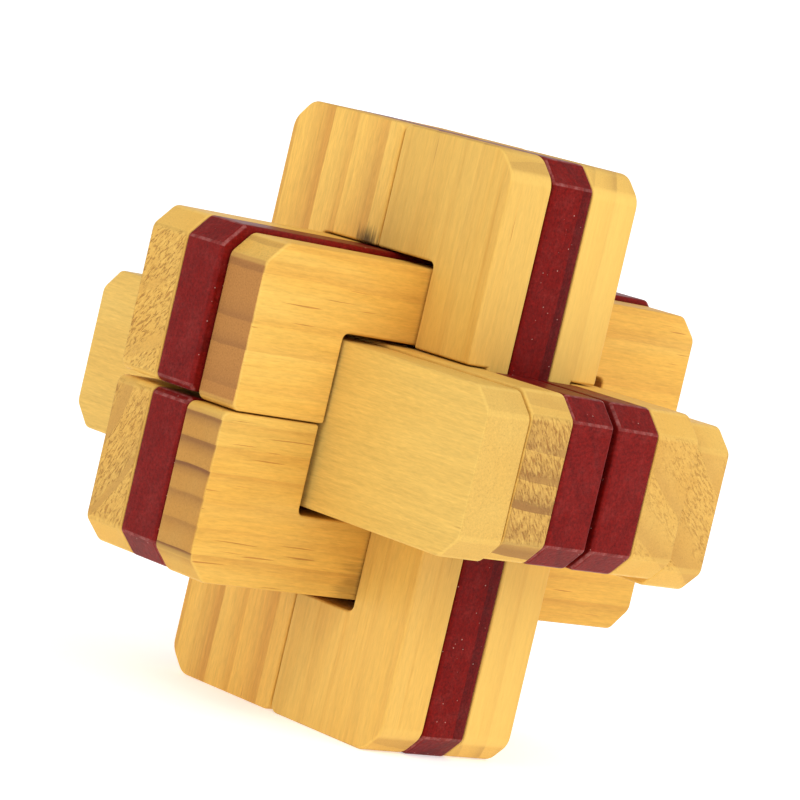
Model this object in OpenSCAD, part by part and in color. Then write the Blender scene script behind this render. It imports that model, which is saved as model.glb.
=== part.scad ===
// Two-colour wooden burr puzzle: twelve interlocking pieces in three crossing pairs.
// The posts stand along Z, the beams lie along X and the rails lie along Y.
// Every pair is two sticks side by side. A stick is a plain single board next to a double,
// which is a red board and a plain board glued face to face.
// The origin is the middle of the standing posts, where the three pairs cross.

/* [Boards] */
// Thickness of one board
layer = 7; // [5.5:0.1:9]
// Thickness of the plain board glued to the back of each post
post_back = 8; // [5.5:0.1:10]
// Width of every board
board_w = 21; // [17:0.1:26]
// Length of every full-length board, which is also the puzzle's size
stick_len = 76; // [70:1:110]
// Sloped cut on the outer corners of each end
corner_cut = 2.8; // [1:0.1:4]
// Small slope that eases the inner corners of each end
corner_ease = 0.7; // [0.2:0.1:1]

/* [Gaps] */
// Gap between a single board and the double beside it
seam = 0.15; // [0.05:0.05:0.4]
// Gap between the left and the right post
post_gap = 0.2; // [0.1:0.1:1]
// Gap between the upper and the lower beam
beam_gap = 0.7; // [0.1:0.1:1.5]
// Gap left below the upper single beam, where it has dropped towards the lower one
beam_single_gap = 0.2; // [0.1:0.1:0.9]
// Gap between the left and the right rail
rail_gap = 0.9; // [0.2:0.1:1.5]
// Smallest gap left anywhere when a piece has slid to the end of its play
slip = 0.2; // [0.1:0.05:0.5]
// Extra height of the recess where a post passes between the rails
recess_room = 0.2; // [0.2:0.1:1]

/* [Play] */
// How far a beam slides each way from the middle of its notch
beam_play = 0.8; // [0.3:0.1:1.5]
// How far a rail slides each way from the middle of its slots
rail_play = 0.6; // [0.3:0.1:1.5]
// How far a post lifts before it meets the lower beam
post_play = 0.5; // [0.3:0.1:1]
// How far the lower single beam has dropped below its double
beam_lower_drop = 0.2; // [0:0.1:1]
// How far the left key has dropped below the rail beside it
key_left_drop = 0.4; // [0.2:0.1:2]
// How far the right key has dropped below the rail beside it
key_right_drop = 1; // [0.2:0.1:2]
// How far the upper single beam and the right key are set back, and cut shorter at each end
single_setback = 0.6; // [0:0.1:0.8]

/* [Hidden] */

plain_wood = [0.91, 0.75, 0.44];
red_wood = [0.47, 0.11, 0.14];

// Broad faces of the boards in a post or a beam, measured from the middle of its red board
red_face = layer / 2;
single_face = red_face + seam;
bundle_half = single_face + layer;

// Broad faces of the boards in a rail, measured from the middle of the puzzle
rail_inner = rail_gap / 2;
rail_joint = rail_inner + layer;
rail_outer = rail_joint + layer;
key_inner = rail_outer + seam;
key_outer = key_inner + layer;

// Posts: inner and outer edge, and the spine that is left beside the notch
post_inner = post_gap / 2;
post_outer = post_inner + board_w;
spine_inner = bundle_half + slip;

// Beams: inner and outer edge above the middle of the crossing
beam_inner = beam_gap / 2;
beam_outer = beam_inner + board_w;
beam_upper_drop = beam_gap + beam_lower_drop - beam_single_gap;

// The crossing sits above the middle of the posts, so that a post can lift by its play
crossing_rise = post_play + slip;
rail_half = board_w / 2;
key_clear = max(key_left_drop, key_right_drop, beam_upper_drop) + slip;
post_notch_half = beam_outer + max(crossing_rise + slip, beam_lower_drop);
beam_notch_half = key_outer + beam_play + slip;
beam_notch_depth = rail_half + key_clear;
recess_half = rail_half + crossing_rise + recess_room;
recess_face = rail_joint - slip;

// Rails: the red board is cut through where the post's spine passes
core_half = spine_inner - rail_play - slip;
block_start = post_outer + rail_play + slip;
stick_half = stick_len / 2;
short_len = stick_len - 2 * single_setback;

// Side outline of a board: length along the first axis, width from foot to head
module board_outline(length, foot, head, foot_cut, head_cut) {
    end = length / 2;
    polygon([
        [foot_cut - end, foot],
        [end - foot_cut, foot],
        [end, foot + foot_cut],
        [end, head - head_cut],
        [end - head_cut, head],
        [head_cut - end, head],
        [-end, head - head_cut],
        [-end, foot + foot_cut]
    ]);
}

// Post board standing on its end, its width running outwards along +Y
module post_board(face, thickness) {
    translate([face + thickness, 0, 0])
        rotate([0, -90, 0])
            linear_extrude(height = thickness)
                difference() {
                    board_outline(stick_len, post_inner, post_outer, corner_ease, corner_cut);
                    translate([-post_notch_half, 0])
                        square([2 * post_notch_half, spine_inner]);
                }
}

// Recess on one outer face of a post, where the rail beside it passes
module post_recess(side) {
    depth = post_back + layer;
    start = side > 0 ? recess_face : -recess_face - depth;
    translate([start, 0, -recess_half])
        cube([depth, post_outer + slip, 2 * recess_half]);
}

module post_plain() {
    color(plain_wood)
        difference() {
            post_board(-bundle_half, layer);
            post_recess(-1);
        }
}

module post_red() {
    color(red_wood)
        post_board(-red_face, layer);
}

module post_backing() {
    color(plain_wood)
        difference() {
            post_board(red_face, post_back);
            post_recess(1);
        }
}

// Beam board lying along X, its width running upwards from the middle of the crossing
module beam_board(face, thickness, length) {
    translate([0, face + thickness, 0])
        rotate([90, 0, 0])
            linear_extrude(height = thickness)
                difference() {
                    board_outline(length, beam_inner, beam_outer, corner_ease, corner_cut);
                    translate([-beam_notch_half, 0])
                        square([2 * beam_notch_half, beam_notch_depth]);
                }
}

// Moves a piece to the crossing, on the upper side or mirrored to the lower side
module at_crossing(side) {
    translate([0, 0, crossing_rise])
        on_side(side)
            children();
}

// Leaves a piece as it is on the upper side, or mirrors it to the lower side
module on_side(side) {
    if (side > 0)
        children();
    else
        mirror([0, 0, 1])
            children();
}

module beam_red(side) {
    color(red_wood)
        at_crossing(side)
            beam_board(-red_face, layer, stick_len);
}

module beam_backing(side) {
    color(plain_wood)
        at_crossing(side)
            beam_board(red_face, layer, stick_len);
}

// Rail board lying along Y, with the middle of its width at the crossing
module rail_board(face, length) {
    translate([face, 0, crossing_rise])
        rotate([90, 0, 90])
            linear_extrude(height = layer)
                board_outline(length, -rail_half, rail_half, corner_cut, corner_cut);
}

// Part of a rail's red board: what is left of it between two positions along Y
module rail_red(from, to) {
    color(red_wood)
        intersection() {
            rail_board(rail_inner, stick_len);
            translate([0, from, crossing_rise - board_w])
                cube([rail_joint + layer, to - from, 2 * board_w]);
        }
}

module rail_plain() {
    color(plain_wood)
        rail_board(rail_joint, stick_len);
}

module mirrored_in_x() {
    mirror([1, 0, 0])
        children();
}

module mirrored_in_y() {
    mirror([0, 1, 0])
        children();
}

module post_left_plain() post_plain();
module post_left_red() post_red();
module post_left_back() post_backing();
module post_right_plain() mirrored_in_y() post_plain();
module post_right_red() mirrored_in_y() post_red();
module post_right_back() mirrored_in_y() post_backing();

module beam_upper_plain() {
    color(plain_wood)
        translate([single_setback, 0, -beam_upper_drop])
            at_crossing(1)
                beam_board(-bundle_half, layer, short_len);
}

module beam_lower_plain() {
    color(plain_wood)
        translate([0, 0, -beam_lower_drop])
            at_crossing(-1)
                beam_board(-bundle_half, layer, stick_len);
}

module beam_upper_red() beam_red(1);
module beam_upper_back() beam_backing(1);
module beam_lower_red() beam_red(-1);
module beam_lower_back() beam_backing(-1);

module key_left() {
    color(plain_wood)
        mirrored_in_x()
            translate([0, 0, -key_left_drop])
                rail_board(key_inner, stick_len);
}

module key_right() {
    color(plain_wood)
        translate([0, single_setback, -key_right_drop])
            rail_board(key_inner, short_len);
}

module rail_left_plain() mirrored_in_x() rail_plain();
module rail_left_red_front() mirrored_in_x() rail_red(-stick_half, -block_start);
module rail_left_red_core() mirrored_in_x() rail_red(-core_half, core_half);
module rail_left_red_back() mirrored_in_x() rail_red(block_start, stick_half);
module rail_right_plain() rail_plain();
module rail_right_red_front() rail_red(-stick_half, -block_start);
module rail_right_red_core() rail_red(-core_half, core_half);
module rail_right_red_back() rail_red(block_start, stick_half);

post_left_plain();
post_left_red();
post_left_back();
post_right_plain();
post_right_red();
post_right_back();
beam_upper_plain();
beam_upper_red();
beam_upper_back();
beam_lower_plain();
beam_lower_red();
beam_lower_back();
key_left();
key_right();
rail_left_plain();
rail_left_red_front();
rail_left_red_core();
rail_left_red_back();
rail_right_plain();
rail_right_red_front();
rail_right_red_core();
rail_right_red_back();
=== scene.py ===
"""Wooden burr puzzle in plain and dark red boards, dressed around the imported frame."""

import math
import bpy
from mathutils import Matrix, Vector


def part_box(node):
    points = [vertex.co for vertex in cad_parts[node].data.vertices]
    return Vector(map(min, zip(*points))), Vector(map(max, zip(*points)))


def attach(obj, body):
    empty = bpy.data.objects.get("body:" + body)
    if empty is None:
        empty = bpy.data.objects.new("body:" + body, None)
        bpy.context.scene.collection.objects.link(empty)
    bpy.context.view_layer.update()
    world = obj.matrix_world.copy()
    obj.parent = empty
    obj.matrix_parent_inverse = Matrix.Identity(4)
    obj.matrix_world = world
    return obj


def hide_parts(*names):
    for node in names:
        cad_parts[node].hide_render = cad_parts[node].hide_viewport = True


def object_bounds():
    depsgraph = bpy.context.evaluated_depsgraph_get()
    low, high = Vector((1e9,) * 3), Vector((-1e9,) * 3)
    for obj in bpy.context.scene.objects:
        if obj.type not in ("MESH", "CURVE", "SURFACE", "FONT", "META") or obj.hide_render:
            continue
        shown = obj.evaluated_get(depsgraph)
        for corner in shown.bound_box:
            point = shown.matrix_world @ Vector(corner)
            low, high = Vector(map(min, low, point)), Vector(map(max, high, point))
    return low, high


bl_info = {
    "name": "Wooden Burr Puzzle",
    "version": (1, 0, 0),
    "blender": (4, 5, 0),
    "location": "3D View > Sidebar > Burr Puzzle",
    "description": "Cuts and finishes the boards of a two-colour burr puzzle and lights them",
    "category": "Add Mesh",
}

from collections import namedtuple

import bmesh
import bpy
from mathutils import Matrix, Vector

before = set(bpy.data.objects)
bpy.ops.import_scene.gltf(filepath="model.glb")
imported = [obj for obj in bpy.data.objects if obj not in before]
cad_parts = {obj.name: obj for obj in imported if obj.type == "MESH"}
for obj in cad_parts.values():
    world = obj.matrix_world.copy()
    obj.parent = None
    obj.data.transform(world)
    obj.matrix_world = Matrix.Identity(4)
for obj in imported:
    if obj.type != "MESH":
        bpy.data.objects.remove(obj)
CAD_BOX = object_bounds()

MM = 0.001
X, Y, Z = 0, 1, 2


# ---------------------------------------------------------------- node graphs


# Sockets of a Mix node that mixes colours
COLOUR_A, COLOUR_B, COLOUR_RESULT = 6, 7, 2


class Graph:
    """Short way to add nodes to one tree and join them."""

    def __init__(self, tree):
        self.tree = tree

    def feed(self, socket, value):
        """Links a socket to an input, or sets the input's own value."""
        if isinstance(value, bpy.types.NodeSocket):
            self.tree.links.new(value, socket)
        else:
            socket.default_value = value

    def add(self, kind, inputs=None, **settings):
        """Adds a node, with its settings first and its inputs by name or number."""
        node = self.tree.nodes.new(kind)
        for name, value in settings.items():
            setattr(node, name, value)
        for key, value in (inputs or {}).items():
            self.feed(node.inputs[key], value)
        return node

    def math(self, operation, *values, clamp=False):
        """One Math node, whose values are numbers or sockets."""
        inputs = dict(enumerate(values))
        node = self.add("ShaderNodeMath", inputs, operation=operation, use_clamp=clamp)
        return node.outputs[0]

    def times(self, first, second):
        return self.math("MULTIPLY", first, second)

    def plus(self, first, second):
        return self.math("ADD", first, second)

    def minus(self, first, second):
        return self.math("SUBTRACT", first, second)

    def vector(self, operation, *values):
        """One Vector Math node that gives a vector."""
        inputs = dict(enumerate(values))
        node = self.add("ShaderNodeVectorMath", inputs, operation=operation)
        return node.outputs["Vector"]

    def scaled(self, vector, factor):
        """A vector made larger by the same factor on every axis."""
        return self.vector("MULTIPLY", vector, (factor,) * 3)

    def compare(self, first, second):
        """True where the first value is greater than the second."""
        inputs = {0: first, 1: second}
        return self.add("FunctionNodeCompare", inputs, operation="GREATER_THAN").outputs[0]

    def switch(self, condition, when_false, when_true, kind="FLOAT"):
        """One of two values, by a condition."""
        inputs = {0: condition, 1: when_false, 2: when_true}
        return self.add("GeometryNodeSwitch", inputs, input_type=kind).outputs[0]

    def combine(self, x=0.0, y=0.0, z=0.0):
        return self.add("ShaderNodeCombineXYZ", {0: x, 1: y, 2: z}).outputs[0]

    def split(self, vector):
        return self.add("ShaderNodeSeparateXYZ", {0: vector}).outputs

    def noise(self, place, detail=2.0, roughness=0.5, distortion=0.0):
        """A Noise texture that reads a vector already scaled to its grain."""
        inputs = {"Vector": place, "Scale": 1.0, "Detail": detail, "Roughness": roughness}
        inputs["Distortion"] = distortion
        return self.add("ShaderNodeTexNoise", inputs)

    def ramp(self, value, *stops):
        """A smooth curve through (position, height) stops, as one number."""
        node = self.add("ShaderNodeValToRGB", {0: value})
        elements = node.color_ramp.elements
        while len(elements) < len(stops):
            elements.new(1.0)
        for element, (position, height) in zip(elements, stops):
            element.position = position
            element.color = (height, height, height, 1.0)
        return node.outputs["Color"]

    def band(self, value, low, high):
        """0 below low, 1 above high, and smooth between them."""
        inputs = {0: value, 1: low, 2: high}
        return self.add("ShaderNodeMapRange", inputs, interpolation_type="SMOOTHSTEP").outputs[0]

    def blend(self, factor, first, second, mode="MIX"):
        """Mixes two colours."""
        node = self.add("ShaderNodeMix", data_type="RGBA", blend_type=mode)
        self.feed(node.inputs[0], factor)
        self.feed(node.inputs[COLOUR_A], first)
        self.feed(node.inputs[COLOUR_B], second)
        return node.outputs[COLOUR_RESULT]

    def shade(self, colour, light):
        """A colour made lighter or darker by one number."""
        return self.blend(1.0, colour, self.combine(light, light, light), "MULTIPLY")


def declare(tree, name, kind, value=None, output=False):
    """Adds a named input or output to a tree, with its default value."""
    side = "OUTPUT" if output else "INPUT"
    socket = tree.interface.new_socket(name=name, in_out=side, socket_type=kind)
    if value is not None:
        socket.default_value = value


# ---------------------------------------------------------------- board shape

# Where a board runs in the frame: its length, width and thickness axes
Run = namedtuple("Run", "length width thickness")
POST_RUN = Run(Z, Y, X)
BEAM_RUN = Run(X, Z, Y)
RAIL_RUN = Run(Y, Z, X)

CUT_OVERSHOOT = 2.0  # how far a cutter runs past the board's own faces, in mm
SAME_PLACE = 0.01  # faces closer than this lie in one plane, in mm
SQUARE = 0.999  # a face this close to an axis is square to it
LEVEL = 0.001  # parts of a normal closer than this are equal
WELD = 0.001 * MM
CORNER_STEPS = 4
NOTCH_STEPS = 5
EDGE_STEPS = 3
EDGE_ANGLE = math.radians(30)
BY_AREA = 100  # how strongly the broad faces set the normals


def square_faces(node, axis):
    """Sorted places of a CAD board's faces that are square to an axis, in mm."""
    square = [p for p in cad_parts[node].data.polygons if abs(p.normal[axis]) > SQUARE]
    return sorted({round(p.center[axis] / MM, 3) for p in square})


def face_span(node, axis, place, other):
    """How far the faces that are square to an axis at a place reach along another axis, in mm."""
    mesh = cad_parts[node].data
    reach = [
        mesh.vertices[v].co[other] / MM
        for p in mesh.polygons
        if abs(p.normal[axis]) > SQUARE and abs(p.center[axis] / MM - place) < SAME_PLACE
        for v in p.vertices
    ]
    return min(reach), max(reach)


def board_measures(node, run):
    """A CAD board's sizes, corner cuts and cut-outs, about its own middle, in mm."""
    low, high = (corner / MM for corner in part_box(node))
    middle = (low + high) / 2
    size = high - low
    along = square_faces(node, run.length)
    cuts = []
    for end in (along[0], along[-1]):
        near, far = face_span(node, run.length, end, run.width)
        cuts += [near - low[run.width], high[run.width] - far]
    boxes = []
    inner = along[1:-1]
    for start, stop in zip(inner[: len(inner) // 2], reversed(inner)):
        corner_low, corner_high = Vector(low), Vector(high)
        corner_low[run.length], corner_high[run.length] = start, stop
        for axis in (run.width, run.thickness):
            near, far = face_span(node, run.length, start, axis)
            at_low = near - low[axis] < SAME_PLACE
            at_high = high[axis] - far < SAME_PLACE
            corner_low[axis] = near - CUT_OVERSHOOT * at_low
            corner_high[axis] = far + CUT_OVERSHOOT * at_high
        boxes.append((corner_low - middle, corner_high - middle))
    return {"middle": middle, "size": size, "cuts": cuts, "boxes": boxes}


def local(vector, run):
    """A frame vector in a board's own order: length, width, thickness."""
    return Vector((vector[run.length], vector[run.width], vector[run.thickness]))


def prism(graph, outline, thickness):
    """A closed solid of an outline's shape, centred on the outline's plane."""
    face = graph.add("GeometryNodeFillCurve", {"Curve": outline}, mode="NGONS")
    raised = graph.add(
        "GeometryNodeExtrudeMesh",
        {"Mesh": face.outputs[0], "Offset Scale": thickness, "Individual": False},
        mode="FACES",
    )
    base = graph.add("GeometryNodeFlipFaces", {"Mesh": face.outputs[0]})
    joined = graph.add("GeometryNodeJoinGeometry")
    for part in (raised, base):
        graph.feed(joined.inputs[0], part.outputs[0])
    welding = {"Geometry": joined.outputs[0], "Distance": WELD}
    closed = graph.add("GeometryNodeMergeByDistance", welding)
    lowered = graph.combine(z=graph.times(thickness, -0.5))
    placing = {"Geometry": closed.outputs[0], "Offset": lowered}
    return graph.add("GeometryNodeSetPosition", placing).outputs[0]


def rounded(graph, curve, radius, count, **more):
    """A curve with its corners cut to a radius, in a number of steps."""
    inputs = {"Curve": curve, "Radius": radius, "Count": count, **more}
    return graph.add("GeometryNodeFilletCurve", inputs, mode="POLY").outputs[0]


def rectangle(graph, width, height):
    """A rectangle about the middle of the plane."""
    sides = {"Width": width, "Height": height}
    return graph.add("GeometryNodeCurvePrimitiveQuadrilateral", sides).outputs[0]


def board_tree():
    """Geometry Nodes tree that cuts one board from its named sizes."""
    tree = bpy.data.node_groups.new("Burr board", "GeometryNodeTree")
    for name in ("Length", "Width", "Thickness"):
        declare(tree, name, "NodeSocketFloat", 10.0 * MM)
    for name in ("Start Low Cut", "Start High Cut", "End Low Cut", "End High Cut"):
        declare(tree, name, "NodeSocketFloat", 1.0 * MM)
    declare(tree, "Corner Soft", "NodeSocketFloat", 0.5 * MM)
    declare(tree, "Notch Round", "NodeSocketFloat", 0.8 * MM)
    for name in ("Notch", "Recess"):
        declare(tree, "Has " + name, "NodeSocketBool", False)
        declare(tree, name + " Size", "NodeSocketVector")
        declare(tree, name + " Middle", "NodeSocketVector")
    declare(tree, "Finish", "NodeSocketMaterial")
    declare(tree, "Board", "NodeSocketGeometry", output=True)

    graph = Graph(tree)
    sizes = graph.add("NodeGroupInput").outputs

    place = graph.split(graph.add("GeometryNodeInputPosition").outputs[0])
    is_high = graph.compare(place[1], 0.0)
    cuts = [
        graph.switch(is_high, sizes[end + " Low Cut"], sizes[end + " High Cut"])
        for end in ("Start", "End")
    ]
    cut = graph.switch(graph.compare(place[0], 0.0), *cuts)
    limit = {"Limit Radius": True}
    outline = rounded(graph, rectangle(graph, sizes["Length"], sizes["Width"]), cut, 1, **limit)
    softened = rounded(graph, outline, sizes["Corner Soft"], CORNER_STEPS, **limit)
    board = prism(graph, softened, sizes["Thickness"])
    notch_size = graph.split(sizes["Notch Size"])
    notch = rectangle(graph, notch_size[0], notch_size[1])
    notch = rounded(graph, notch, sizes["Notch Round"], NOTCH_STEPS)
    cutters = {
        "Notch": prism(graph, notch, notch_size[2]),
        "Recess": graph.add("GeometryNodeMeshCube", {"Size": sizes["Recess Size"]}).outputs[0],
    }
    for name, cutter in cutters.items():
        placing = {"Geometry": cutter, "Translation": sizes[name + " Middle"]}
        placed = graph.add("GeometryNodeTransform", placing)
        less = graph.add(
            "GeometryNodeMeshBoolean",
            {"Mesh 1": board, "Mesh 2": placed.outputs[0]},
            operation="DIFFERENCE",
            solver="EXACT",
        )
        board = graph.switch(sizes["Has " + name], board, less.outputs[0], "GEOMETRY")
    smooth = graph.add("GeometryNodeSetShadeSmooth", {"Geometry": board, "Shade Smooth": True})
    real = graph.add("GeometryNodeRealizeInstances", {"Geometry": smooth.outputs[0]})
    coating = {"Geometry": real.outputs[0], "Material": sizes["Finish"]}
    finish = graph.add("GeometryNodeSetMaterial", coating)
    graph.add("NodeGroupOutput", {"Board": finish.outputs[0]})
    return tree


def set_inputs(modifier, values):
    """Sets a Geometry Nodes modifier's inputs by their names."""
    names = {item.name: item.identifier for item in modifier.node_group.interface.items_tree}
    for name, value in values.items():
        modifier[names[name]] = value


def plain_mesh(piece):
    """The piece's finished mesh, with its modifiers baked in."""
    evaluated = piece.evaluated_get(bpy.context.evaluated_depsgraph_get())
    return bpy.data.meshes.new_from_object(evaluated)


def is_broad(normal):
    """True for a face square to an axis, or for the slope of a cut corner."""
    small, middle, large = sorted(abs(part) for part in normal)
    return large > SQUARE or (small < LEVEL and large - middle < LEVEL)


def mark_edges(mesh):
    """Writes the attribute edge: 1 along the rounded edges and 0 on the broad faces."""
    broad = {v for polygon in mesh.polygons if is_broad(polygon.normal) for v in polygon.vertices}
    edge = mesh.attributes.new("edge", "FLOAT", "POINT")
    edge.data.foreach_set("value", [0.0 if v in broad else 1.0 for v in range(len(mesh.vertices))])


def cut_board(node, run, body, material, edge_round, corner_soft, shape):
    """Makes the finished board that stands for one CAD node, and rides it on its body."""
    measures = board_measures(node, run)
    size = local(measures["size"], run) * MM
    # An end inside the puzzle is square in the CAD, and only has its edges eased
    cuts = [cut * MM or shape.inner_ease for cut in measures["cuts"]]
    start_low, start_high, end_low, end_high = cuts
    piece = bpy.data.objects.new(node + "_board", bpy.data.meshes.new(node + "_board"))
    bpy.context.scene.collection.objects.link(piece)
    modifier = piece.modifiers.new("Board", "NODES")
    modifier.node_group = bpy.data.node_groups.get("Burr board") or board_tree()
    values = {
        "Length": size[0],
        "Width": size[1],
        "Thickness": size[2],
        "Start Low Cut": start_low,
        "Start High Cut": start_high,
        "End Low Cut": end_low,
        "End High Cut": end_high,
        "Corner Soft": corner_soft,
        "Notch Round": shape.notch_round,
        "Finish": material,
    }
    for name, (low, high) in zip(("Notch", "Recess"), measures["boxes"]):
        values["Has " + name] = True
        values[name + " Size"] = tuple(local(high - low, run) * MM)
        values[name + " Middle"] = tuple(local((low + high) / 2, run) * MM)
    set_inputs(modifier, values)
    rounding = piece.modifiers.new("Eased edges", "BEVEL")
    rounding.width = edge_round
    rounding.segments = EDGE_STEPS
    rounding.angle_limit = EDGE_ANGLE
    mesh = plain_mesh(piece)
    mesh.materials.pop(index=0)  # the tree leaves an empty slot before the finish
    piece.modifiers.clear()

    turn = Matrix([[float(run[column] == row) for column in range(3)] for row in range(3)])
    mesh.transform(Matrix.Translation(measures["middle"] * MM) @ turn.to_4x4())
    if turn.determinant() < 0:
        mesh.flip_normals()
    mark_edges(mesh)
    mesh.shade_smooth()
    piece.data = mesh
    weighted = piece.modifiers.new("Flat faces", "WEIGHTED_NORMAL")
    weighted.mode = "FACE_AREA"
    weighted.weight = BY_AREA
    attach(piece, body)
    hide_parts(node)


# ---------------------------------------------------------------- wood

# How a plain board's wood looks, when its own entry does not say otherwise. Places and sizes are
# in mm from the board's middle, in the order length, width, thickness.
PLAIN_LOOK = {
    "heart_width": 60.0,  # where the middle of the tree lies across the board's width
    "heart_depth": 20.0,  # and across its thickness
    "ring_spacing": 3.2,
    "ring_contrast": 0.5,
    "ring_shape": 1.0,  # below 1 the dark part of each ring is wider
    "gold": 0.4,  # 0 pale to 1 golden
    "blotch": 0.6,  # how far the gold comes and goes
    "tone": 1.0,  # brightness
    "wander": 1.5,  # how far the rings sway
    "fibre": 1.0,  # contrast of the fine fibres
    "streaks": 0.4,  # long thin resin streaks
    "dashes": 0.2,  # short dark resin dashes
    "end_brown": 0.2,  # how brown the sawn ends are
    "end_rings": 0.4,
    "torn": 0.3,  # how much of the sawn ends is torn
    "tear_turn": 0.9,  # direction of the tears, in radians
    "sand": 0.3,  # fine speckle of the sawn ends
    "burn_and_shade_place": (100.0, 0.0, 0.0),  # middle of a dark spot: a burn on one board, painted shade on another
    "burn_and_shade_reach": 1.0,
    "burn_and_shade": 0.0,
    "seed": 0.0,
}
RED_LOOK = {
    **PLAIN_LOOK,
    "heart_width": 26.0,
    "heart_depth": 34.0,
    "ring_spacing": 4.4,
    "ring_contrast": 0.8,
    "blotch": 1.0,
    "streaks": 0.1,
    "dashes": 0.0,
    "end_brown": 0.0,
    "torn": 0.0,
    "sand": 0.1,
}


# Stretched noise: its scale along the board and across it, in turns per mm, and its offset
SWAY = (0.022, 0.05, 1.3)
CLOUD = (0.020, 0.13, 5.1)
STREAK = (0.030, 1.3, 21.4)
DASH = (0.11, 3.2, 13.7)
FIBRE = (0.12, 2.4, 2.7)
FINE_FIBRE = (0.70, 4.4, 8.2)
# Even noise, in turns per mm
GRIT_SCALE = 4.2
TORN_PATCH_SCALE = 0.16
TEAR_SCALE = (0.9, 3.3, 1.0)  # along a tear, across it, and unused

SEED_STEP = 37.0  # how far apart two seeds lie in the noise
END_FACING = (0.45, 0.80)  # a face turned this far along the board starts, and is, a sawn end
FLAT_END_FACING = (0.80, 0.96)  # the same, without the sloped cuts
# How dark the wood is across one year's ring, from its early wood to its late wood
YEAR = ((0.0, 0.30), (0.05, 0.05), (0.40, 0.10), (0.72, 0.50), (0.90, 1.0), (0.97, 0.95))
YEAR_UNEVEN = 1.8  # how far the years' widths differ, in rings
YEAR_UNEVEN_SCALE = 0.45  # how fast they change, in turns per ring
RING_STRENGTH = (0.85, 0.25)  # how far the rings' strengths differ, above the weakest
GOLD_DRIFT = 2.4  # how far the clouds swing between pale and golden

# Where a mark starts to show in its noise, and where it is full
STREAKED = (0.55, 0.85)
POROUS = (0.36, 0.26)
TORN = (0.55, 0.80)
RIDGE = (0.36, 0.47)
CREST = (0.52, 0.66)
BURN_AND_SHADE = (1.7, 0.9)
DASHED = (-0.11, 0.84)  # how far more dashes lower their own start, from its highest
DASH_SOFTNESS = 0.07
LATE_HOLDS = 0.9  # how well late wood stands up to tearing
BURN_AND_SHADE_RAGGED = 1.4

# How strongly a mark colours the wood
DASH_COLOUR = 0.6
PORE_COLOUR = 0.4
# painted shade between the torn fibres of a sawn end, and a painted highlight on their crests
TEAR_SHADE_COLOUR = 0.65
CREST_HIGHLIGHT_COLOUR = 0.45
BROWN = (0.8, 0.2)  # how far a flat sawn end browns, above its sloped cuts
FIBRE_SHARES = (0.55, 0.45)  # coarse and fine
FIBRE_LIGHT = 0.80
GRIT_LIGHT = 1.5
# near-black of the dark spot: a burn on one board, painted shade where another meets a post
BURN_AND_SHADE_COLOUR = (0.05, 0.02, 0.008, 1.0)

# How far a mark stands out of the surface
FIBRE_RELIEF = 0.6
RING_RELIEF = 0.15
DASH_RELIEF = -0.3
GRIT_RELIEF = 0.5
PORE_RELIEF = -0.6
RIDGE_RELIEF = 2.5

Surface = namedtuple("Surface", "colour light height")


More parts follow.
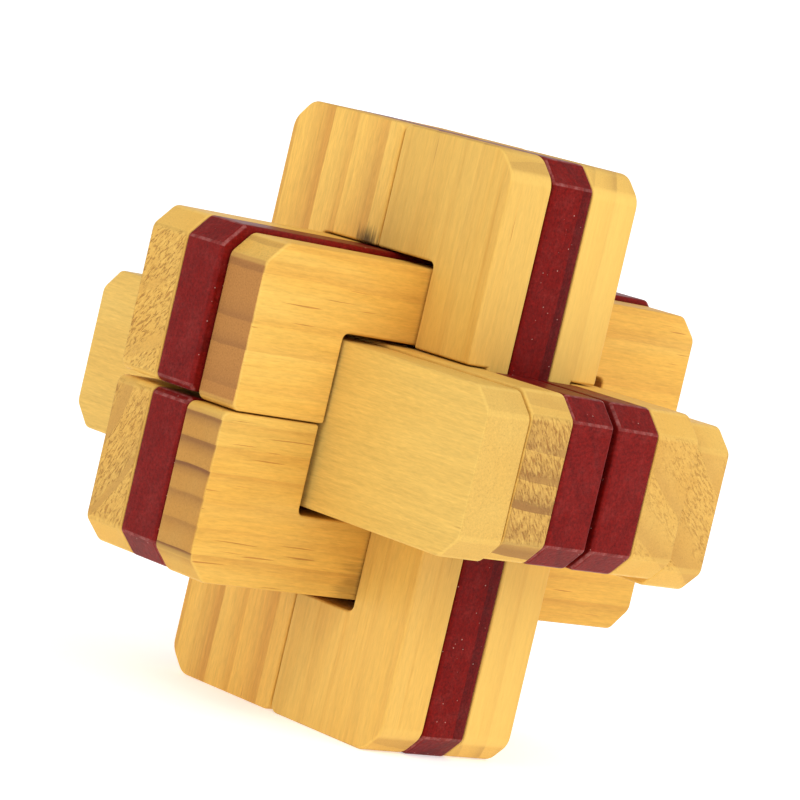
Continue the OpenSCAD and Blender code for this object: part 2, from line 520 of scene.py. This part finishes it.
class Timber(Graph):
    """The nodes that grow one board's wood."""

    def __init__(self, tree):
        super().__init__(tree)
        self.given = self.add("NodeGroupInput").outputs
        self.along, self.across, self.deep = self.split(self.given["place"])[:3]
        self.shift = self.times(self.given["seed"], SEED_STEP)
        self.fibre = self.grain(FIBRE, detail=4.0, roughness=0.7)[0]

    def grain(self, scales, **settings):
        """Noise stretched along the board."""
        along_scale, across_scale, offset = scales
        start = self.plus(self.shift, offset)
        place = self.combine(
            self.math("MULTIPLY_ADD", self.along, along_scale, start),
            self.times(self.across, across_scale),
            self.times(self.deep, across_scale),
        )
        return self.noise(place, **settings).outputs

    def from_heart(self, value, part, heart):
        """Squared distance from the middle of the tree along one axis, swayed by some noise."""
        drift = self.times(self.minus(part, 0.5), self.given["wander"])
        return self.math("POWER", self.minus(self.plus(value, drift), heart), 2.0)

    def growth_rings(self):
        """Late wood of each year's ring, and the same with its years unlike in strength."""
        sway = self.split(self.grain(SWAY, detail=3.0)["Color"])
        width_part = self.from_heart(self.across, sway[0], self.given["heart_width"])
        depth_part = self.from_heart(self.deep, sway[1], self.given["heart_depth"])
        radius = self.math("SQRT", self.plus(width_part, depth_part))
        year = self.math("DIVIDE", radius, self.given["ring_spacing"])
        place = self.combine(self.plus(self.times(year, YEAR_UNEVEN_SCALE), self.shift))
        uneven = self.noise(place, detail=1.0).outputs[0]
        year = self.math("MULTIPLY_ADD", uneven, YEAR_UNEVEN, year)
        part = self.math("POWER", self.math("FRACT", year), self.given["ring_shape"])
        late = self.ramp(part, *YEAR)
        number = {1: self.plus(self.math("FLOOR", year), self.shift)}
        chance = self.add("ShaderNodeTexWhiteNoise", number, noise_dimensions="1D").outputs[0]
        return late, self.times(late, self.math("MULTIPLY_ADD", chance, *RING_STRENGTH))

    def clouded(self):
        """Clean wood, in pale to golden clouds."""
        cloud = self.grain(CLOUD, detail=3.0)[0]
        drift = self.times(self.times(self.minus(cloud, 0.5), self.given["blotch"]), GOLD_DRIFT)
        warmth = self.math("ADD", self.given["gold"], drift, clamp=True)
        return self.blend(warmth, self.given["pale"], self.given["golden"])

    def side(self, wood, rings):
        """A side of the board, with its rings, fibres and resin marks."""
        given = self.given
        ring_colour = self.math("MULTIPLY", rings, given["ring_contrast"], clamp=True)
        colour = self.blend(ring_colour, wood, given["late"])
        streaked = self.band(self.grain(STREAK, detail=1.0)[0], *STREAKED)
        resin = self.blend(0.5, given["golden"], given["late"])
        colour = self.blend(self.times(streaked, given["streaks"]), colour, resin)
        start = self.math("MULTIPLY_ADD", given["dashes"], *DASHED)
        full = self.plus(start, DASH_SOFTNESS)
        dashes = self.band(self.grain(DASH, detail=0.0)[0], start, full)
        colour = self.blend(self.times(dashes, DASH_COLOUR), colour, given["dash"])
        fine = self.grain(FINE_FIBRE, detail=2.0, roughness=0.6)[0]
        coarse_share, fine_share = FIBRE_SHARES
        fibres = self.plus(self.times(self.fibre, coarse_share), self.times(fine, fine_share))
        contrast = self.times(self.minus(fibres, 0.5), given["fibre"])
        light = self.math("MULTIPLY_ADD", contrast, FIBRE_LIGHT, 1.0)
        marks = self.plus(self.times(rings, RING_RELIEF), self.times(dashes, DASH_RELIEF))
        return Surface(colour, light, self.plus(self.times(fibres, FIBRE_RELIEF), marks))

    def tears(self):
        """Noise in long strokes across a sawn end."""
        turned = self.add(
            "ShaderNodeVectorRotate",
            {
                "Vector": self.combine(self.across, self.deep, 0.0),
                "Angle": self.given["tear_turn"],
            },
            rotation_type="Z_AXIS",
        ).outputs[0]
        place = self.vector("MULTIPLY", turned, TEAR_SCALE)
        place = self.vector("ADD", place, self.combine(self.shift))
        return self.noise(place, detail=3.0, roughness=0.65, distortion=0.5).outputs[0]

    def sawn_end(self, wood, late, rings, flat_end):
        """A sawn end: browner wood, its rings, open pores, fine speckle and torn fibres, with
        painted shade between the torn fibres and a painted highlight on their crests.
        """
        given = self.given
        brown = self.math("MULTIPLY_ADD", self.times(given["end_brown"], flat_end), *BROWN)
        colour = self.blend(brown, wood, given["end"])
        colour = self.blend(self.times(rings, given["end_rings"]), colour, given["end_late"])
        place = self.scaled(given["place"], GRIT_SCALE)
        grit = self.noise(place, detail=3.0, roughness=0.75).outputs[0]
        pores = self.band(grit, *POROUS)
        colour = self.blend(self.times(pores, PORE_COLOUR), colour, given["dash"])
        speckle = self.times(self.minus(grit, 0.5), given["sand"])
        light = self.math("MULTIPLY_ADD", speckle, GRIT_LIGHT, 1.0)

        tears = self.tears()
        place = self.scaled(given["place"], TORN_PATCH_SCALE)
        patch = self.noise(place, detail=2.0).outputs[0]
        reach = self.minus(self.plus(given["torn"], patch), self.times(late, LATE_HOLDS))
        torn = self.times(self.times(self.band(reach, *TORN), flat_end), given["torn"])
        ridge = self.band(tears, *RIDGE)
        crest_highlight = self.band(tears, *CREST)
        # painted shade between the torn ridges, and a painted highlight on their crests
        shade = self.times(torn, self.times(self.minus(1.0, ridge), TEAR_SHADE_COLOUR))
        colour = self.blend(shade, colour, given["tear"])
        colour = self.blend(
            self.times(torn, self.times(crest_highlight, CREST_HIGHLIGHT_COLOUR)), colour, given["pale"]
        )
        grit_height = self.plus(self.times(grit, GRIT_RELIEF), self.times(pores, PORE_RELIEF))
        height = self.plus(self.times(self.times(torn, ridge), RIDGE_RELIEF), grit_height)
        return Surface(colour, light, height)

    def with_burn_and_shade(self, colour):
        """A colour darkened in a ragged spot: a burn where a saw or a tight fit has marked the
        wood, and painted shade where a board meets a post.
        """
        places = {0: self.given["place"], 1: self.given["burn_and_shade_place"]}
        apart = self.add("ShaderNodeVectorMath", places, operation="DISTANCE").outputs["Value"]
        distance = self.math("DIVIDE", apart, self.given["burn_and_shade_reach"])
        ragged = self.math("MULTIPLY_ADD", self.fibre, BURN_AND_SHADE_RAGGED, distance)
        # darkens the spot: a burn on one board, painted shade on another
        burn_and_shade_mask = self.times(self.band(ragged, *BURN_AND_SHADE), self.given["burn_and_shade"])
        return self.blend(burn_and_shade_mask, colour, BURN_AND_SHADE_COLOUR)


def timber_group():
    """Shader group that grows tree rings, fibres, resin marks and sawn ends through a board."""
    tree = bpy.data.node_groups.new("Timber", "ShaderNodeTree")
    declare(tree, "place", "NodeSocketVector")
    declare(tree, "facing", "NodeSocketVector")
    for name, value in PLAIN_LOOK.items():
        kind = "NodeSocketVector" if isinstance(value, tuple) else "NodeSocketFloat"
        declare(tree, name, kind, value)
    for name in ("pale", "golden", "late", "dash", "end", "end_late", "tear"):
        declare(tree, name, "NodeSocketColor")
    declare(tree, "colour", "NodeSocketColor", output=True)
    declare(tree, "height", "NodeSocketFloat", output=True)
    declare(tree, "end_grain", "NodeSocketFloat", output=True)

    timber = Timber(tree)
    end_facing = timber.math("ABSOLUTE", timber.split(timber.given["facing"])[0])
    end = timber.band(end_facing, *END_FACING)
    flat_end = timber.band(end_facing, *FLAT_END_FACING)
    late, rings = timber.growth_rings()
    wood = timber.clouded()
    side = timber.side(wood, rings)
    sawn = timber.sawn_end(wood, late, rings, flat_end)

    light = timber.add("ShaderNodeMix", {0: end, 2: side.light, 3: sawn.light}).outputs[0]
    light = timber.times(light, timber.given["tone"])
    colour = timber.shade(timber.blend(end, side.colour, sawn.colour), light)
    side_height = timber.times(timber.minus(1.0, end), side.height)
    results = {
        "colour": timber.with_burn_and_shade(colour),
        "height": timber.plus(side_height, timber.times(end, sawn.height)),
        "end_grain": end,
    }
    timber.add("NodeGroupOutput", results)
    return tree


def board_place(graph, node, run):
    """Place from the board's middle, in mm, and facing, both in length, width, thickness order."""
    low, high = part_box(node)
    source = graph.add("ShaderNodeTexCoord")
    offset = graph.vector("SUBTRACT", source.outputs["Object"], tuple((low + high) / 2))
    parts = graph.split(graph.scaled(offset, 1 / MM))
    facing = graph.split(source.outputs["Normal"])
    return [graph.combine(*(vector[axis] for axis in run)) for vector in (parts, facing)]


def rgba(colour):
    return (*colour, 1.0)


def new_timber(name, node, run, look, colours):
    """A material with one Timber node, set to a board's look and to the given colours."""
    material = bpy.data.materials.new(name)
    material.use_nodes = True
    graph = Graph(material.node_tree)
    shader = material.node_tree.nodes["Principled BSDF"]
    place, facing = board_place(graph, node, run)
    inputs = {"place": place, "facing": facing, **look}
    inputs.update({key: rgba(colour) for key, colour in colours.items()})
    tree = bpy.data.node_groups.get("Timber") or timber_group()
    timber = graph.add("ShaderNodeGroup", node_tree=tree)
    for key, value in inputs.items():
        graph.feed(timber.inputs[key], value)
    return material, graph, shader, place, timber.outputs


def edge_marks(graph):
    """1 along the rounded edges of a board and 0 on its broad faces."""
    return graph.add("ShaderNodeAttribute", attribute_name="edge").outputs["Fac"]


# How a surface reflects, and how strong and deep its relief is
Finish = namedtuple("Finish", "shine relief relief_depth")
CLEAR_COAT = Finish(shine=0.18, relief=0.6, relief_depth=0.12 * MM)
LACQUER = Finish(shine=0.07, relief=0.35, relief_depth=0.1 * MM)


def finish_surface(graph, shader, base, roughness, height, finish):
    """Joins a board's colour, roughness and relief to its shader."""
    graph.feed(shader.inputs["Base Color"], base)
    graph.feed(shader.inputs["Roughness"], roughness)
    shader.inputs["Specular IOR Level"].default_value = finish.shine
    relief = {"Strength": finish.relief, "Distance": finish.relief_depth, "Height": height}
    graph.feed(shader.inputs["Normal"], graph.add("ShaderNodeBump", relief).outputs[0])


EDGE_HIGHLIGHT_COLOUR = 0.30  # how much paler an eased edge of a plain board is painted, a painted highlight
PLAIN_ROUGHNESS = (0.25, 0.48)  # how much rougher a sawn end is, above a side


def plain_wood(node, run, look):
    """Sanded softwood under a thin clear coat, with a painted highlight along its eased edges."""
    colours = bpy.context.scene.burr_colours
    material, graph, shader, _, timber = new_timber(
        node + "_wood",
        node,
        run,
        {**PLAIN_LOOK, **look},
        {
            "pale": colours.pale,
            "golden": colours.golden,
            "late": colours.late,
            "dash": colours.dash,
            "end": colours.end_grain,
            "end_late": colours.end_ring,
            "tear": colours.tear,
        },
    )
    # painted highlight: the eased edges are blended towards the pale wood colour
    lighter = graph.times(edge_marks(graph), EDGE_HIGHLIGHT_COLOUR)
    base = graph.blend(lighter, timber["colour"], rgba(colours.pale))
    roughness = graph.math("MULTIPLY_ADD", timber["end_grain"], *PLAIN_ROUGHNESS)
    finish_surface(graph, shader, base, roughness, timber["height"], CLEAR_COAT)
    return material


# Even noise in the red lacquer, in turns per mm
LACQUER_CLOUD_SCALE = 0.45
LACQUER_GRAIN_SCALE = 2.4
LACQUER_RIPPLE_SCALE = 1.8
SCUFF_SCALE = 1.1
# Where a mark starts to show in its noise, and where it is full
HAZED = (0.42, 0.78)
SCUFFED = (0.40, 0.66)
# eased red edges turn pale: partly wear, partly a painted highlight
RUBBED_AND_HIGHLIT = (0.4, 1.0)  # the same for an eased edge

# How far a value differs over a board, above its least
RUBBED_AND_HIGHLIT_BY_SCUFF = (0.75, 0.25)
LACQUER_ROUGHNESS = (0.25, 0.25)

HAZE_COLOUR = 0.04
LACQUER_GRAIN_LIGHT = 2.2
# how far eased red edges are painted pale, for wear and a painted highlight
EDGE_WEAR_AND_HIGHLIGHT_COLOUR = 0.38
SPECK_COLOUR = 0.5
UNDER_LACQUER = 0.35  # how much of the wood's own relief still shows
DUST_CELLS = 1.7  # places for a speck of dust, per mm
DUSTY = (0.66, 1.0)  # chance below which a place is clean, and where its speck is largest
SPECK_SIZE = 0.17  # as a part of its cell
SPECK_CORE = 0.5  # full part of a speck, as a part of its size


def dust_specks(graph, place):
    """One speck in some of the cells of the lacquer, each with its own size."""
    cells = {"Vector": place, "Scale": DUST_CELLS, "Randomness": 1.0}
    dust = graph.add("ShaderNodeTexVoronoi", cells, feature="F1")
    chance = graph.split(dust.outputs["Color"])[0]
    size = graph.times(graph.band(chance, *DUSTY), SPECK_SIZE)
    return graph.band(dust.outputs["Distance"], size, graph.times(size, SPECK_CORE))


def red_wood(node, run, look):
    """Dark red stained and lacquered wood with a few pale specks, and pale edges that show wear and
    a painted highlight.
    """
    colours = bpy.context.scene.burr_colours
    material, graph, shader, place, timber = new_timber(
        node + "_lacquer",
        node,
        run,
        {**RED_LOOK, **look},
        {
            "pale": colours.red,
            "golden": colours.red_deep,
            "late": colours.red_dark,
            "dash": colours.red_dark,
            "end": colours.red,
            "end_late": colours.red_dark,
            "tear": colours.red_dark,
        },
    )

    def even_noise(scale, **settings):
        return graph.noise(graph.scaled(place, scale), **settings).outputs[0]

    cloud = even_noise(LACQUER_CLOUD_SCALE, detail=4.0, roughness=0.65)
    haze = graph.times(graph.band(cloud, *HAZED), HAZE_COLOUR)
    base = graph.blend(haze, timber["colour"], rgba(colours.red_wear_and_highlight))
    grains = graph.minus(even_noise(LACQUER_GRAIN_SCALE, detail=4.0, roughness=0.8), 0.5)
    base = graph.shade(base, graph.math("MULTIPLY_ADD", grains, LACQUER_GRAIN_LIGHT, 1.0))
    scuff = graph.band(even_noise(SCUFF_SCALE, detail=5.0, roughness=0.7), *SCUFFED)
    # pale eased edges: wear, and a painted highlight along them
    rubbed = graph.math("MULTIPLY_ADD", scuff, *RUBBED_AND_HIGHLIT_BY_SCUFF)
    edge_wear_and_highlight = graph.times(graph.band(edge_marks(graph), *RUBBED_AND_HIGHLIT), rubbed)
    base = graph.blend(graph.times(edge_wear_and_highlight, EDGE_WEAR_AND_HIGHLIGHT_COLOUR), base, rgba(colours.red_wear_and_highlight))
    specks = graph.times(dust_specks(graph, place), SPECK_COLOUR)
    base = graph.blend(specks, base, rgba(colours.speck))
    roughness = graph.math("MULTIPLY_ADD", cloud, *LACQUER_ROUGHNESS)
    ripple = even_noise(LACQUER_RIPPLE_SCALE, detail=3.0)
    height = graph.plus(graph.times(timber["height"], UNDER_LACQUER), ripple)
    finish_surface(graph, shader, base, roughness, height, LACQUER)
    return material


# ---------------------------------------------------------------- boards

# Each board's node, the body it rides on, and how its wood differs from the usual look
POSTS = (
    (
        "post_left_plain",
        "post_left_single",
        {
            "heart_width": 46.0,
            "heart_depth": 6.0,
            "ring_spacing": 5.4,
            "ring_contrast": 1.0,
            "ring_shape": 0.8,
            "gold": 0.45,
            "tone": 1.05,
            "seed": 1,
            "burn_and_shade_place": (22.0, -8.5, -3.5),
            "burn_and_shade_reach": 3.0,
            "burn_and_shade": 0.9,
        },
    ),
    ("post_left_red", "post_left", {"gold": 1.0, "blotch": 0.4, "seed": 2}),
    ("post_left_back", "post_left", {"heart_width": 35.0, "heart_depth": 30.0, "seed": 3}),
    (
        "post_right_plain",
        "post_right_single",
        {
            "heart_width": -90.0,
            "heart_depth": 8.0,
            "ring_spacing": 5.0,
            "ring_contrast": 0.18,
            "gold": 0.35,
            "streaks": 0.6,
            "blotch": 0.5,
            "fibre": 0.7,
            "wander": 3.0,
            "tone": 0.93,
            "seed": 4,
        },
    ),
    ("post_right_red", "post_right", {"gold": 1.0, "blotch": 0.4, "seed": 5}),
    (
        "post_right_back",
        "post_right",
        {
            "heart_width": 24.0,
            "heart_depth": -50.0,
            "ring_contrast": 0.15,
            "gold": 0.15,
            "blotch": 0.3,
            "streaks": 0.2,
            "dashes": 0.0,
            "fibre": 0.4,
            "seed": 6,
        },
    ),
)
BEAMS = (
    (
        "beam_upper_plain",
        "beam_upper_single",
        {
            "heart_depth": 0.0,
            "ring_spacing": 4.2,
            "ring_contrast": 0.28,
            "gold": 0.75,
            "blotch": 1.2,
            "dashes": 0.6,
            "streaks": 0.3,
            "end_brown": 1.2,
            "end_rings": 0.5,
            "torn": 0.0,
            "sand": 0.5,
            "tone": 0.97,
            "seed": 7,
        },
    ),
    ("beam_upper_red", "beam_upper", {"seed": 8}),
    (
        "beam_upper_back",
        "beam_upper",
        {
            "heart_width": 50.0,
            "heart_depth": 26.0,
            "ring_spacing": 9.0,
            "ring_contrast": 0.35,
            "end_brown": 0.15,
            "end_rings": 0.2,
            "torn": 1.0,
            "tear_turn": 0.75,
            "seed": 9,
        },
    ),
    (
        "beam_lower_plain",
        "beam_lower_single",
        {
            "heart_width": -70.0,
            "heart_depth": 2.0,
            "ring_spacing": 3.3,
            "ring_contrast": 0.38,
            "gold": 0.95,
            "blotch": 1.2,
            "dashes": 0.9,
            "streaks": 0.5,
            "end_brown": 0.6,
            "end_rings": 1.0,
            "torn": 0.1,
            "tone": 0.91,
            # the dark spot here is painted shade at the beam's end, where it meets the post
            "burn_and_shade_place": (-11.0, -9.5, -3.5),
            "burn_and_shade_reach": 4.5,
            "burn_and_shade": 0.35,
            "ring_shape": 1.2,
            "seed": 10,
        },
    ),
    ("beam_lower_red", "beam_lower", {"seed": 11}),
    (
        "beam_lower_back",
        "beam_lower",
        {
            "heart_width": 14.0,
            "heart_depth": 22.0,
            "ring_spacing": 7.0,
            "ring_contrast": 0.4,
            "end_brown": 0.25,
            "torn": 0.9,
            "tear_turn": 0.5,
            "seed": 12,
        },
    ),
)
RAILS = (
    (
        "rail_left_plain",
        "rail_left",
        {
            "heart_width": 70.0,
            "heart_depth": 4.0,
            "ring_spacing": 4.4,
            "ring_shape": 0.6,
            "end_brown": 0.35,
            "end_rings": 0.8,
            "torn": 1.0,
            "tear_turn": 0.6,
            "tone": 0.92,
            "seed": 13,
        },
    ),
    ("rail_left_red_front", "rail_left", {"seed": 14}),
    ("rail_left_red_core", "rail_left", {"seed": 15}),
    ("rail_left_red_back", "rail_left", {"seed": 16}),
    (
        "rail_right_plain",
        "rail_right",
        {
            "heart_width": 20.0,
            "heart_depth": 16.0,
            "ring_spacing": 8.0,
            "torn": 0.4,
            "tone": 0.98,
            "seed": 17,
        },
    ),
    ("rail_right_red_front", "rail_right", {"heart_width": -20.0, "seed": 18}),
    ("rail_right_red_core", "rail_right", {"heart_width": -20.0, "seed": 19}),
    ("rail_right_red_back", "rail_right", {"heart_width": -20.0, "seed": 20}),
)
KEYS = (
    (
        "key_left",
        "key_left",
        {
            "heart_width": 26.0,
            "heart_depth": 80.0,
            "ring_spacing": 9.0,
            "ring_contrast": 0.08,
            "gold": 0.2,
            "blotch": 0.4,
            "streaks": 0.1,
            "dashes": 0.0,
            "end_brown": 0.0,
            "end_rings": 0.05,
            "torn": 0.0,
            "sand": 0.4,
            "tone": 0.88,
            "seed": 21,
        },
    ),
    (
        "key_right",
        "key_right",
        {
            "heart_width": 18.0,
            "heart_depth": 14.0,
            "ring_spacing": 9.0,
            "end_rings": 0.35,
            "torn": 0.6,
            "seed": 22,
        },
    ),
)


def make_boards(boards, run):
    """Cuts, finishes and rides every board of one group."""
    shape = bpy.context.scene.burr_shape
    plain_corner = shape.post_corner if run is POST_RUN else shape.plain_corner
    for node, body, look in boards:
        red = "_red" in node
        material = (red_wood if red else plain_wood)(node, run, look)
        cut_board(
            node,
            run,
            body,
            material,
            shape.red_round if red else shape.plain_round,
            shape.red_corner if red else plain_corner,
            shape,
        )


# ---------------------------------------------------------------- stage

# The camera looks at a point above the middle of the puzzle, from the front left, and is rolled
CAMERA_AIM = Vector((-0.3, 0.6, 3.5)) * MM
CAMERA_DISTANCE = 529.6 * MM
CAMERA_AZIMUTH = math.radians(-42.62)
CAMERA_ELEVATION = math.radians(4.64)
CAMERA_ROLL = math.radians(13.22)
CAMERA_LENS = 187.4
CAMERA_CLIP = (0.01, 20.0)  # nearest and furthest thing seen, in metres
SENSOR = 36.0


def make_camera():
    """A long lens that sees the whole puzzle from the front left, a little above its middle."""
    level = math.cos(CAMERA_ELEVATION)
    back = Vector(
        (
            math.sin(CAMERA_AZIMUTH) * level,
            -math.cos(CAMERA_AZIMUTH) * level,
            math.sin(CAMERA_ELEVATION),
        )
    )
    data = bpy.data.cameras.new("Camera")
    data.lens = CAMERA_LENS
    data.sensor_width = SENSOR
    data.clip_start, data.clip_end = CAMERA_CLIP
    camera = bpy.data.objects.new("Camera", data)
    turn = (-back).to_track_quat("-Z", "Y").to_matrix()
    roll = Matrix.Rotation(CAMERA_ROLL, 3, "Z")
    place = Matrix.Translation(CAMERA_AIM + back * CAMERA_DISTANCE)
    camera.matrix_world = place @ (turn @ roll).to_4x4()
    bpy.context.scene.collection.objects.link(camera)
    bpy.context.scene.camera = camera


def add_light(name, place, size, power):
    """A square soft light, turned to the middle of the puzzle and hidden from the camera."""
    data = bpy.data.lights.new(name, "AREA")
    data.size = size
    data.energy = power
    light = bpy.data.objects.new(name, data)
    light.location = place
    light.rotation_euler = (-Vector(place)).to_track_quat("-Z", "Y").to_euler()
    light.visible_camera = False
    bpy.context.scene.collection.objects.link(light)


# Places and sizes of the lights, in metres
KEY_PLACE, KEY_SIZE = (0.15, -0.75, 0.55), 0.6
FILL_PLACE, FILL_SIZE = (-0.75, -0.30, 0.60), 0.35

FLOOR_FLAT = 1.0  # radius of the flat middle of the floor, in metres
FLOOR_RISE = 0.5  # radius of the sweep round it
FLOOR_STEPS = 12
FLOOR_SIDES = 96
FLOOR_TILT = math.radians(70)


def floor_ring(shape, radius, height):
    """One ring of the floor's points, or its middle point."""
    if radius == 0.0:
        return [shape.verts.new((0.0, 0.0, height))]
    turns = [math.tau * side / FLOOR_SIDES for side in range(FLOOR_SIDES)]
    return [
        shape.verts.new((radius * math.cos(turn), radius * math.sin(turn), height))
        for turn in turns
    ]


def floor_mesh():
    """A round floor whose rim sweeps up, so that no horizon shows."""
    profile = [(0.0, 0.0), (FLOOR_FLAT, 0.0)]
    for step in range(1, FLOOR_STEPS + 1):
        angle = FLOOR_TILT * step / FLOOR_STEPS
        radius = FLOOR_FLAT + FLOOR_RISE * math.sin(angle)
        profile.append((radius, FLOOR_RISE * (1 - math.cos(angle))))
    shape = bmesh.new()
    ground = CAD_BOX[0].z
    rings = [floor_ring(shape, radius, ground + height) for radius, height in profile]
    for inside, outside in zip(rings, rings[1:]):
        for side in range(FLOOR_SIDES):
            after = (side + 1) % FLOOR_SIDES
            inner = (inside[side], inside[after]) if len(inside) > 1 else inside
            shape.faces.new((*inner, outside[after], outside[side]))
    bmesh.ops.recalc_face_normals(shape, faces=shape.faces)
    mesh = bpy.data.meshes.new("floor")
    shape.to_mesh(mesh)
    shape.free()
    mesh.shade_smooth()
    return mesh


def floor_paper():
    """Matt pale paper that glows a little, so that it stays even."""
    studio = bpy.context.scene.burr_studio
    material = bpy.data.materials.new("floor_paper")
    material.use_nodes = True
    shader = material.node_tree.nodes["Principled BSDF"]
    shader.inputs["Base Color"].default_value = rgba(studio.floor)
    shader.inputs["Roughness"].default_value = 0.9
    shader.inputs["Specular IOR Level"].default_value = 0.1
    shader.inputs["Emission Color"].default_value = rgba(studio.floor)
    shader.inputs["Emission Strength"].default_value = studio.floor_glow
    return material


def make_floor():
    """The pale floor that the puzzle stands on."""
    floor = bpy.data.objects.new("floor", floor_mesh())
    bpy.context.scene.collection.objects.link(floor)
    floor.data.materials.append(floor_paper())


def make_world():
    """Even white light from all round."""
    studio = bpy.context.scene.burr_studio
    world = bpy.data.worlds.new("Studio")
    world.use_nodes = True
    background = world.node_tree.nodes["Background"]
    background.inputs["Color"].default_value = rgba(studio.surround)
    background.inputs["Strength"].default_value = studio.surround_strength
    bpy.context.scene.world = world


# ---------------------------------------------------------------- settings


def length_setting(name, description, default):
    return bpy.props.FloatProperty(
        name=name, description=description, default=default, unit="LENGTH"
    )


def colour_setting(name, description, default):
    return bpy.props.FloatVectorProperty(
        name=name, description=description, default=default, subtype="COLOR", min=0.0, max=1.0
    )


class BurrShape(bpy.types.PropertyGroup):
    """Rounding of the boards' edges."""

    plain_round: length_setting("Plain edge", "Width of the eased edge of a plain board", 0.35 * MM)
    red_round: length_setting("Red edge", "Width of the eased edge of a red board", 0.55 * MM)
    plain_corner: length_setting(
        "Plain corner", "Radius where a plain end's sloped cut starts", 1.4 * MM
    )
    post_corner: length_setting(
        "Post corner", "The same radius on the plain boards of a post", 2.6 * MM
    )
    red_corner: length_setting("Red corner", "Radius where a red end's sloped cut starts", 0.8 * MM)
    notch_round: length_setting("Notch corner", "Radius of the inner corners of a notch", 0.8 * MM)
    inner_ease: length_setting("Slot edge", "Slope on the edges of a slot in a red rail", 0.8 * MM)


class BurrColours(bpy.types.PropertyGroup):
    """Colours of the two woods."""

    pale: colour_setting("Pale wood", "Lightest wood, between the rings", (0.80, 0.52, 0.125))
    golden: colour_setting("Golden wood", "Warmer wood", (0.76, 0.42, 0.072))
    late: colour_setting("Ring", "Dark late wood at the end of each ring", (0.52, 0.225, 0.04))
    dash: colour_setting("Resin dash", "Short resin marks and open pores", (0.40, 0.12, 0.022))
    end_grain: colour_setting("End grain", "Sawn ends of plain boards", (0.44, 0.195, 0.05))
    end_ring: colour_setting("End ring", "Dark rings on the sawn ends", (0.24, 0.10, 0.035))
    tear: colour_setting("Tear", "Shade in the torn fibres of a sawn end", (0.36, 0.145, 0.03))
    red: colour_setting("Red", "Red stain and lacquer", (0.175, 0.0075, 0.006))
    red_deep: colour_setting("Deep red", "Red where the stain lies thicker", (0.160, 0.0035, 0.002))
    red_dark: colour_setting("Dark red", "Red over the rings", (0.09, 0.004, 0.004))
    # this pale red paints the wear and a painted highlight on the eased red edges, and the
    # lacquer's haze
    red_wear_and_highlight: colour_setting("Worn red", "Red where an edge is rubbed", (0.50, 0.20, 0.18))
    speck: colour_setting("Speck", "Pale dust in the lacquer", (0.75, 0.55, 0.45))


class BurrStudio(bpy.types.PropertyGroup):
    """Floor and lights."""

    floor: colour_setting("Floor", "Colour of the floor", (0.93, 0.93, 0.93))
    floor_glow: bpy.props.FloatProperty(
        name="Floor glow", description="Light that comes up through the floor", default=0.45
    )
    surround: colour_setting("Surround", "Colour of the light from all round", (1.0, 1.0, 1.0))
    surround_strength: bpy.props.FloatProperty(
        name="Surround strength", description="Brightness of the light from all round", default=0.68
    )
    fill_power: bpy.props.FloatProperty(
        name="Fill light",
        description="Power of the light from the left",
        default=2.2,
        subtype="POWER",
    )
    key_power: bpy.props.FloatProperty(
        name="Key light", description="Power of the main light", default=2.9, subtype="POWER"
    )


# ---------------------------------------------------------------- operators


class BURR_OT_posts(bpy.types.Operator):
    """Make the standing posts"""

    bl_idname = "burr.posts"
    bl_label = "Posts"

    def execute(self, context):
        make_boards(POSTS, POST_RUN)
        return {"FINISHED"}


class BURR_OT_beams(bpy.types.Operator):
    """Make the beams that pass between the posts"""

    bl_idname = "burr.beams"
    bl_label = "Beams"

    def execute(self, context):
        make_boards(BEAMS, BEAM_RUN)
        return {"FINISHED"}


class BURR_OT_rails(bpy.types.Operator):
    """Make the rail doubles that lock the posts"""

    bl_idname = "burr.rails"
    bl_label = "Rails"

    def execute(self, context):
        make_boards(RAILS, RAIL_RUN)
        return {"FINISHED"}


class BURR_OT_keys(bpy.types.Operator):
    """Make the two straight keys that slide out"""

    bl_idname = "burr.keys"
    bl_label = "Keys"

    def execute(self, context):
        make_boards(KEYS, RAIL_RUN)
        return {"FINISHED"}


class BURR_OT_stage(bpy.types.Operator):
    """Make the floor, the lights and the camera"""

    bl_idname = "burr.stage"
    bl_label = "Studio"

    def execute(self, context):
        studio = context.scene.burr_studio
        make_camera()
        make_floor()
        make_world()
        add_light("Key", KEY_PLACE, KEY_SIZE, studio.key_power)
        add_light("Fill", FILL_PLACE, FILL_SIZE, studio.fill_power)
        context.scene.view_settings.view_transform = "Standard"
        return {"FINISHED"}


class BURR_PT_panel(bpy.types.Panel):
    """Buttons and settings for the puzzle"""

    bl_label = "Burr Puzzle"
    bl_idname = "BURR_PT_panel"
    bl_space_type = "VIEW_3D"
    bl_region_type = "UI"
    bl_category = "Burr Puzzle"

    def draw(self, context):
        layout = self.layout
        for operator in OPERATORS:
            layout.operator(operator.bl_idname)
        for name in SETTINGS:
            box = layout.box()
            group = getattr(context.scene, name)
            for key in group.__annotations__:
                box.prop(group, key)


SETTINGS = {"burr_shape": BurrShape, "burr_colours": BurrColours, "burr_studio": BurrStudio}
OPERATORS = (BURR_OT_stage, BURR_OT_posts, BURR_OT_beams, BURR_OT_rails, BURR_OT_keys)
CLASSES = (*SETTINGS.values(), *OPERATORS, BURR_PT_panel)


def register():
    for cls in CLASSES:
        bpy.utils.register_class(cls)
    for name, group in SETTINGS.items():
        setattr(bpy.types.Scene, name, bpy.props.PointerProperty(type=group))


def unregister():
    for name in SETTINGS:
        delattr(bpy.types.Scene, name)
    for cls in reversed(CLASSES):
        bpy.utils.unregister_class(cls)


def main():
    """Makes the whole scene."""
    register()
    bpy.ops.burr.stage()
    bpy.ops.burr.posts()
    bpy.ops.burr.beams()
    bpy.ops.burr.rails()
    bpy.ops.burr.keys()


if __name__ == "__main__":
    main()
